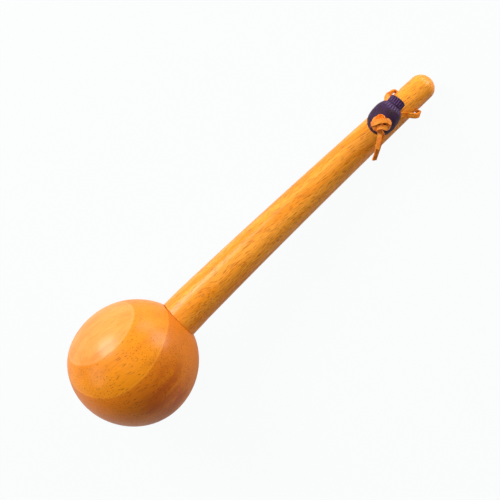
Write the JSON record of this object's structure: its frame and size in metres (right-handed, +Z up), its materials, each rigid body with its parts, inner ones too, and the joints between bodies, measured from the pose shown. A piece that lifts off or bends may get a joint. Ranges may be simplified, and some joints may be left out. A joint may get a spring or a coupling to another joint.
{
  "type": "ball-headed wooden beater",
  "caption": "Percussion beater: solid wooden ball on a tapered turned handle, with a flat leather lace through the tip, held by a spring cord lock and a knot.",
  "frame": {"origin": "under the middle of the wooden stick, on the surface that the ball and the tip rest on", "axes": "+X from the ball to the tip of the handle, +Z up; the handle slopes down towards its tip, and the cord lock lies on top of it"},
  "size_m": [0.2984, 0.08, 0.08],
  "materials": {
    "head_wood": "satin clear lacquer over honey-orange flat-sawn hardwood with growth rings",
    "handle_wood": "satin clear lacquer over honey-orange hardwood with fine open pores along the grain",
    "lace_leather": "tan leather, smooth grain side and raw suede flesh side and edges",
    "lock_plastic": "dark navy-violet moulded plastic with a fine texture",
    "spring_steel": "drawn spring wire"
  },
  "bodies": {
    "stick": {"head": "head_wood", "handle": "handle_wood"},
    "lace": {"lace_loop": "lace_leather", "lace_knot": "lace_leather", "lace_tails": "lace_leather"},
    "lock": {"lock_body": "lock_plastic", "lock_spring": "spring_steel"},
    "plunger": {"lock_plunger": "lock_plastic"}
  },
  "joints": [
    {"name": "lace_swing", "type": "hinge", "parent": "stick", "child": "lace", "pos_m": [0.1285, 0, 0.01012], "axis": [0, 1, 0], "range_deg": [0, 75]},
    {"name": "lock_slide", "type": "slide", "parent": "lace", "child": "lock", "axis": [0.1254, 0, 0.9921], "range_m": [0, 0.0015]},
    {"name": "plunger_press", "type": "slide", "parent": "lock", "child": "plunger", "axis": [-0.9836, -0.1305, 0.1243], "range_m": [0, 0.002], "stiffness_N_per_m": 600, "springref_m": -0.004, "deforming": ["lock_spring"]}
  ]
}
